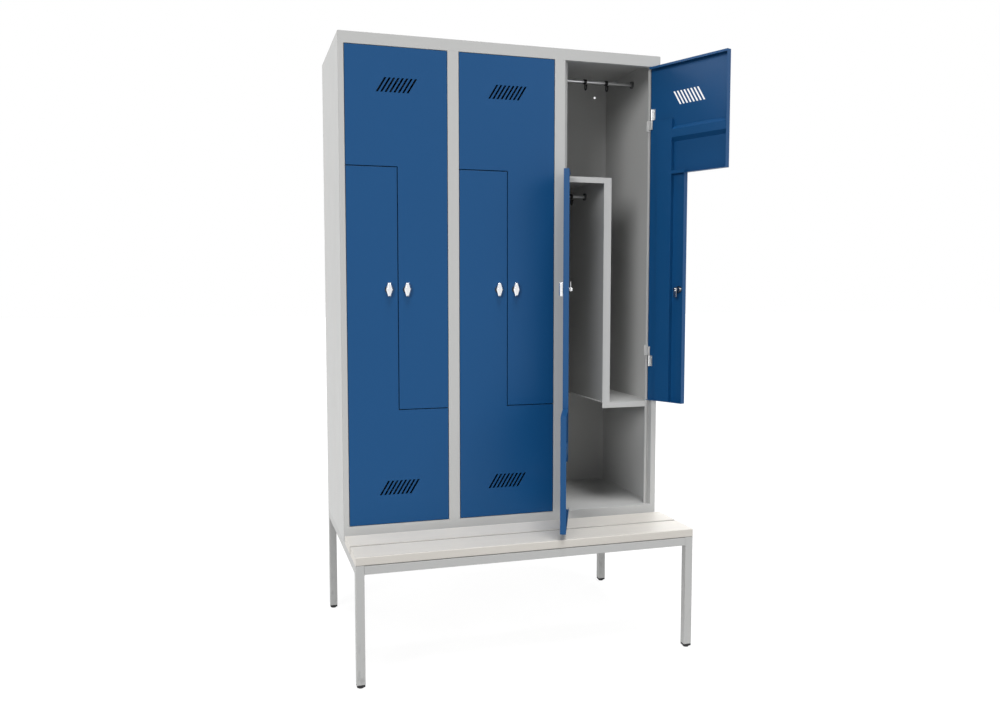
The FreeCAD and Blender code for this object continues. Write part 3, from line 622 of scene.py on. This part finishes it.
def vent_walls(pan, sheets, left, right, top, sizes):
    """The walls of the slots in the CAD door: across its sheet, near its short edge, away from its sides."""
    margin = sizes.vent_drop / 2
    return {
        face for face in pan.faces
        if abs(face.normal.y) < ACROSS and lies_at(face, INWARDS, sheets) and all(
            left + margin < vert.co.x < right - margin and vert.co.z > top - 2 * sizes.vent_drop
            for vert in face.verts
        )
    }


def fill_sheet(pan, rim, outlines, level, outward):
    """Fills a sheet between its rim and the vent slots, and gives each slot's corners."""
    rings = [[pan.verts.new((x, level, z)) for x, z in outline] for outline in outlines]
    slots = [pan.edges.new((ring[index - 1], ring[index])) for ring in rings for index in range(len(ring))]
    filled = bmesh.ops.triangle_fill(
        pan, use_beauty=True, use_dissolve=False, edges=rim + slots, normal=outward,
    )
    for face in filled["geom"]:
        if isinstance(face, bmesh.types.BMFace):
            face_towards(face, outward)
    return rings


def wall_slots(pan, front_rings, back_rings):
    """Closes the vent slots between a pan's two sheets."""
    for front, back in zip(front_rings, back_rings):
        middle = sum((vert.co for vert in front + back), Vector()) / (2 * len(front))
        for index in range(len(front)):
            wall = pan.faces.new((front[index - 1], front[index], back[index], back[index - 1]))
            face_towards(wall, middle - wall.calc_center_median())


def vented_pan(door, sizes):
    """A door's pan in its own frame: the CAD door as one skin, with its row of vents cut anew."""
    pan = merged_pan(door)
    left, right = min(vert.co.x for vert in pan.verts), max(vert.co.x for vert in pan.verts)
    top = max(vert.co.z for vert in pan.verts)
    sheets = (DOOR_FACE, DOOR_FACE + sizes.door_sheet)
    outward = (Vector((0.0, -1.0, 0.0)), Vector((0.0, 1.0, 0.0)))

    walls = vent_walls(pan, sheets, left, right, top, sizes)
    plain = [{face for face in pan.faces if lies_at(face, INWARDS, [level])} for level in sheets]
    rims = [
        [
            edge for edge in pan.edges
            if len(faces.intersection(edge.link_faces)) == 1 and walls.isdisjoint(edge.link_faces)
        ]
        for faces in plain
    ]
    # The pan's wide and narrow halves are two solids that meet on one level.
    seam = next((edge.verts[0].co.z for edge in pan.edges if len(edge.link_faces) > 2), math.inf)
    meeting = {face for face in pan.faces if lies_at(face, UPWARDS, [seam])}
    dropped = walls.union(meeting, *plain)
    bmesh.ops.delete(pan, geom=[face for face in pan.faces if face in dropped], context="FACES")
    step = [edge for edge in pan.edges if edge.is_boundary and lies_at(edge, UPWARDS, [seam])]
    for face in bmesh.ops.holes_fill(pan, edges=step)["faces"]:
        face_towards(face, Vector((0.0, 0.0, -1.0)))

    outlines = list(vent_outlines(top, (left + right) / 2, sizes))
    front_rings, back_rings = (
        fill_sheet(pan, rim, outlines, level, facing) for rim, level, facing in zip(rims, sheets, outward)
    )
    wall_slots(pan, front_rings, back_rings)
    pan.verts.index_update()
    points = [vert.co.copy() for vert in pan.verts]
    faces = [[vert.index for vert in face.verts] for face in pan.faces]
    pan.free()
    return points, faces


class LOCKER_OT_stage(bpy.types.Operator):
    """Sets the floor, the white surroundings, the lamps and the camera"""

    bl_idname = "locker.stage"
    bl_label = "Studio stage"

    def execute(self, context):
        scene = context.scene
        scene.view_settings.view_transform = "Standard"
        self.set_surroundings(scene)
        self.lay_floor(scene)
        self.hang_lamps(scene)
        self.place_camera(scene)
        return {"FINISHED"}

    @staticmethod
    def set_surroundings(scene):
        """White where they are seen, and a weaker light on the locker."""
        scene.world = bpy.data.worlds.new("studio")
        scene.world.use_nodes = True
        sky = Nodes(scene.world.node_tree)
        white = paint((1.0, 1.0, 1.0))
        dim = sky.add("ShaderNodeBackground", None, {"Color": white, "Strength": scene.locker_stage.ambient})
        bright = sky.add("ShaderNodeBackground", None, {"Color": white, "Strength": 1.0})
        shown = sky.add("ShaderNodeMixShader", None, {0: sky.seen_rays(), 1: dim, 2: bright})
        sky.add("ShaderNodeOutputWorld", None, {"Surface": shown})

    @staticmethod
    def lay_floor(scene):
        """A wide sheet of paper, white where it is seen, that keeps the locker's shadow."""
        stage = scene.locker_stage
        half = 40.0
        below = -0.0002
        corners = [(-half, -half, below), (half, -half, below), (half, half, below), (-half, half, below)]
        floor = new_piece("studio_floor", corners, faces=[(0, 1, 2, 3)])
        paper = Finish("floor_paper")
        plain = paper.add("ShaderNodeBsdfDiffuse", None, {"Color": paint((stage.floor_bounce,) * 3)})
        shade = paper.add("ShaderNodeBsdfDiffuse", None, {"Color": paint((stage.floor_paint,) * 3)})
        glow = paper.add("ShaderNodeEmission", None, {"Strength": stage.floor_glow})
        bright = paper.add("ShaderNodeAddShader", None, {0: shade, 1: glow})
        shown = paper.add("ShaderNodeMixShader", None, {0: paper.seen_rays(), 1: plain, 2: bright})
        paper.add("ShaderNodeOutputMaterial", None, {"Surface": shown})
        floor.data.materials.append(paper.material)

    @staticmethod
    def hang_lamps(scene):
        """Five suns: each one's name, strength, the way its light goes and its spread in degrees."""
        stage = scene.locker_stage
        lamps = (
            ("key_light", stage.key, (0.64, 0.70, -0.30), 25.0),
            ("side_light", stage.side, (0.80, -0.54, -0.26), 30.0),
            ("fill_light", stage.fill, (-0.68, 0.64, -0.36), 40.0),
            ("top_light", stage.top, (0.0, 0.30, -0.95), 25.0),
            ("rim_light", stage.rim, (-0.45, -0.78, -0.43), 50.0),
        )
        for name, strength, direction, spread in lamps:
            lamp = bpy.data.lights.new(name, "SUN")
            lamp.energy = strength
            lamp.angle = math.radians(spread)
            holder = bpy.data.objects.new(name, lamp)
            holder.rotation_euler = Vector(direction).to_track_quat("-Z", "Y").to_euler()
            scene.collection.objects.link(holder)

    @staticmethod
    def place_camera(scene):
        """The camera at the photograph's viewing angle."""
        stage = scene.locker_stage
        camera = bpy.data.cameras.new("photo_camera")
        camera.sensor_width = 36.0
        camera.lens = stage.lens
        holder = bpy.data.objects.new("photo_camera", camera)
        holder.location = stage.eye
        holder.rotation_euler = (math.pi / 2 - stage.pitch, 0.0, -stage.yaw)
        scene.collection.objects.link(holder)
        scene.camera = holder


class LOCKER_OT_carcass(bpy.types.Operator):
    """Paints the cabinet's sheets and rounds the edges of the folded ones"""

    bl_idname = "locker.carcass"
    bl_label = "Cabinet sheets"

    def execute(self, context):
        coat = powder_coat("cabinet_paint", context.scene.locker_finishes.cabinet)
        dress([*FOLDED_SHEETS, "back_panel"], coat)
        round_edges(FOLDED_SHEETS, context.scene.locker_sizes.sheet_round)
        return {"FINISHED"}


class LOCKER_OT_bench(bpy.types.Operator):
    """Paints the bench frame, rounds its tubes and runs the weld beads round the joints"""

    bl_idname = "locker.bench"
    bl_label = "Bench frame"

    def execute(self, context):
        sizes = context.scene.locker_sizes
        coat = powder_coat("bench_paint", context.scene.locker_finishes.bench, scuffed=0.5)
        dress(BENCH, coat)
        round_edges(BENCH, sizes.tube_round, segments=3)
        points = []
        edges = []
        for path in self.joint_paths(BASE - sizes.bead_stop):
            start = len(points)
            points.extend(path)
            edges.extend((start + index, start + index + 1) for index in range(len(path) - 1))
        beads = new_piece("weld_beads", points, edges)
        values = {"Bead radius": sizes.bead_radius, "Ripple": sizes.bead_ripple}
        make_piece(beads, bead_tree("weld_bead", coat, values), values, "cabinet")
        dress(["bench_feet"], moulded_plastic("foot_plastic", context.scene.locker_finishes.plastic))
        return {"FINISHED"}

    @staticmethod
    def joint_paths(high):
        """The hidden sides of each joint: down one side of the rail, under it and up the other."""
        low = RAIL_LOW
        inner_left, inner_right = LEFT + TUBE, RIGHT - TUBE
        cross_front, cross_back = FRONT, FRONT + TUBE
        inner_front, inner_back = BENCH_FRONT + TUBE, BACK - TUBE
        for x in (inner_left, inner_right):
            yield [(x, BENCH_FRONT, low), (x, inner_front, low), (x, inner_front, high)]
            yield [(x, cross_front, high), (x, cross_front, low), (x, cross_back, low), (x, cross_back, high)]
            yield [(x, BACK, low), (x, inner_back, low), (x, inner_back, high)]
        for y in (inner_front, inner_back):
            yield [(LEFT, y, low), (inner_left, y, low), (inner_left, y, high)]
            yield [(RIGHT, y, low), (inner_right, y, low), (inner_right, y, high)]
        for middle in DIVIDERS:
            left, right = middle - TUBE / 2, middle + TUBE / 2
            for y in (inner_front, cross_front):
                yield [(left, y, high), (left, y, low), (right, y, low), (right, y, high)]


class LOCKER_OT_seat(bpy.types.Operator):
    """Stains the seat slats and bolts them to the frame from below"""

    bl_idname = "locker.seat"
    bl_label = "Seat slats"

    def execute(self, context):
        finishes = context.scene.locker_finishes
        sizes = context.scene.locker_sizes
        low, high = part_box("seat_slats")
        stain = stained_slat("slat_stain", finishes, sizes, front=low.y, middle=(low.y + high.y) / 2)
        dress(["seat_slats"], stain)
        quarter = (high.y - low.y) / 4
        supports = [LEFT + TUBE / 2, RIGHT - TUBE / 2, *DIVIDERS]
        points = [(x, low.y + share * quarter, RAIL_LOW) for x in supports for share in (1, 3)]
        bolts = new_piece("slat_bolts", points, facings=[(0.0, 0.0, -1.0)] * len(points))
        values = {"Head radius": sizes.bolt_radius, "Head height": sizes.bolt_height}
        tree = head_tree("slat_bolt", zinc_plate("bolt_zinc", finishes.zinc), values, recessed=True)
        make_piece(bolts, tree, values, "cabinet")
        return {"FINISHED"}


class LOCKER_OT_doors(bpy.types.Operator):
    """Cuts the doors' vents and paints the doors and their stiffeners"""

    bl_idname = "locker.doors"
    bl_label = "Doors"

    def execute(self, context):
        coat = powder_coat("door_paint", context.scene.locker_finishes.doors)
        for door in DOORS:
            points, faces = vented_pan(door, context.scene.locker_sizes)
            pan = new_piece(f"door_pan_{door}", points, faces=faces)
            pan.data.transform(door_space(door))
            pan.data.materials.append(coat)
            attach(pan, door_body(door))
            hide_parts(f"door_{door}")
        stiffeners = [f"stiffeners_{door}" for door in DOORS]
        dress(stiffeners, coat)
        round_edges(stiffeners, context.scene.locker_sizes.sheet_round)
        return {"FINISHED"}


class LOCKER_OT_hinges(bpy.types.Operator):
    """Plates the pins and straps, marks the plates' spot welds and rivets the straps to the doors"""

    bl_idname = "locker.hinges"
    bl_label = "Hinges"

    def execute(self, context):
        sizes = context.scene.locker_sizes
        zinc = zinc_plate("hinge_zinc", context.scene.locker_finishes.zinc)
        dress(["hinge_pins"] + [f"door_hinge_{door}" for door in DOORS], zinc)
        pin = Vector(JOINTS["upper_door_1_hinge"]["pos_m"])
        strap_low, strap_high = (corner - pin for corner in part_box("door_hinge_upper_1"))
        half = sizes.leaf_height / 2
        straps = (strap_high.z - half, strap_low.z + half)
        apart = sizes.leaf_height + sizes.leaf_gap
        plates = (straps[0] - apart, straps[1] + apart)
        plate_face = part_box("frame_hinges")[1].y - pin.y - sizes.leaf_thick
        strap_face = strap_low.y + sizes.leaf_thick

        points = [
            door_space(door, shut=True) @ spot
            for door in DOORS
            for spot in self.fixings(plates, plate_face, sizes)
        ]
        welds = new_piece("hinge_welds", points, facings=[(0.0, -1.0, 0.0)] * len(points))
        values = {"Head radius": sizes.spot_radius, "Head height": sizes.spot_height}
        tree = head_tree("spot_weld", bpy.data.materials["cabinet_paint"], values)
        make_piece(welds, tree, values, "cabinet")

        values = {"Head radius": sizes.rivet_radius, "Head height": sizes.rivet_height}
        tree = head_tree("strap_rivet", zinc, values)
        for door in DOORS:
            space = door_space(door)
            points = [space @ spot for spot in self.fixings(straps, strap_face, sizes)]
            facing = space.to_3x3() @ Vector((0.0, 1.0, 0.0))
            rivets = new_piece(f"strap_rivets_{door}", points, facings=[tuple(facing)] * len(points))
            make_piece(rivets, tree, values, door_body(door))
        return {"FINISHED"}

    @staticmethod
    def fixings(heights, face, sizes):
        """Two points on each hinge leaf, above and below its middle, in the door's own frame."""
        return [
            Vector((-sizes.leaf_middle, face, height + side * sizes.fixing_rise))
            for height in heights
            for side in (-1, 1)
        ]


class LOCKER_OT_locks(bpy.types.Operator):
    """Plates the locks and knobs and rounds the knobs' edges"""

    bl_idname = "locker.locks"
    bl_label = "Locks and knobs"

    def execute(self, context):
        finishes = context.scene.locker_finishes
        knobs = [f"knob_{door}" for door in DOORS]
        dress(knobs, polished_chrome("knob_chrome", finishes.chrome))
        for door in DOORS:
            plating = polished_chrome(f"lock_chrome_{door}", finishes.lock, door, finishes.lock_back)
            dress([f"lock_{door}"], plating)
        round_edges(knobs, context.scene.locker_sizes.knob_round, segments=3)
        return {"FINISHED"}


class LOCKER_OT_rails(bpy.types.Operator):
    """Gives the hanging rails, their sockets and the hooks their finishes"""

    bl_idname = "locker.rails"
    bl_label = "Rails and hooks"

    def execute(self, context):
        finishes = context.scene.locker_finishes
        dress(["hanging_rails"], drawn_steel("rail_steel", finishes.rails))
        dress(["rail_sockets"], moulded_plastic("socket_plastic", finishes.sockets))
        dress(HOOKS, moulded_plastic("hook_plastic", finishes.plastic))
        return {"FINISHED"}


class LOCKER_OT_seams(bpy.types.Operator):
    """Rivets the back panel to the sides, dividers, top and floor"""

    bl_idname = "locker.seams"
    bl_label = "Back seams"

    def execute(self, context):
        sizes = context.scene.locker_sizes
        inset, end = sizes.seam_inset, sizes.seam_end
        points = []
        for x in (LEFT + inset, RIGHT - inset, *DIVIDERS):
            points += [(x, BACK, BASE + end), (x, BACK, TOP - end)]
        for z in (BASE + inset, TOP - inset):
            points += [(LEFT + end, BACK, z), (RIGHT - end, BACK, z)]
        edges = [(index, index + 1) for index in range(0, len(points), 2)]
        rivets = new_piece("back_rivets", points, edges, facings=[(0.0, 1.0, 0.0)] * len(points))
        values = {
            "Head radius": sizes.rivet_radius, "Head height": sizes.rivet_height, "Pitch": sizes.rivet_pitch,
        }
        coat = powder_coat("rivet_paint", context.scene.locker_finishes.cabinet)
        make_piece(rivets, rivet_tree("seam_rivet", coat, values), values, "cabinet")
        return {"FINISHED"}


STEPS = (
    LOCKER_OT_stage, LOCKER_OT_carcass, LOCKER_OT_bench, LOCKER_OT_seat, LOCKER_OT_doors, LOCKER_OT_hinges,
    LOCKER_OT_locks, LOCKER_OT_rails, LOCKER_OT_seams,
)


class LOCKER_PT_panel(bpy.types.Panel):
    """Lists the locker's finishes, sizes and stage, and the steps that dress it"""

    bl_idname = "LOCKER_PT_panel"
    bl_label = "Bench locker"
    bl_space_type = "VIEW_3D"
    bl_region_type = "UI"
    bl_category = "Locker"

    def draw(self, context):
        scene = context.scene
        for settings in (scene.locker_finishes, scene.locker_sizes, scene.locker_stage):
            box = self.layout.box()
            for name in settings.__annotations__:
                box.prop(settings, name)
        for step in STEPS:
            self.layout.operator(step.bl_idname)


CLASSES = (LockerFinishes, LockerSizes, LockerStage, *STEPS, LOCKER_PT_panel)


def register():
    for item in CLASSES:
        bpy.utils.register_class(item)
    bpy.types.Scene.locker_finishes = PointerProperty(type=LockerFinishes)
    bpy.types.Scene.locker_sizes = PointerProperty(type=LockerSizes)
    bpy.types.Scene.locker_stage = PointerProperty(type=LockerStage)


def unregister():
    del bpy.types.Scene.locker_stage
    del bpy.types.Scene.locker_sizes
    del bpy.types.Scene.locker_finishes
    for item in reversed(CLASSES):
        bpy.utils.unregister_class(item)


def main():
    register()
    bpy.ops.locker.stage()
    bpy.ops.locker.carcass()
    bpy.ops.locker.bench()
    bpy.ops.locker.seat()
    bpy.ops.locker.doors()
    bpy.ops.locker.hinges()
    bpy.ops.locker.locks()
    bpy.ops.locker.rails()
    bpy.ops.locker.seams()


if __name__ == "__main__":
    main()
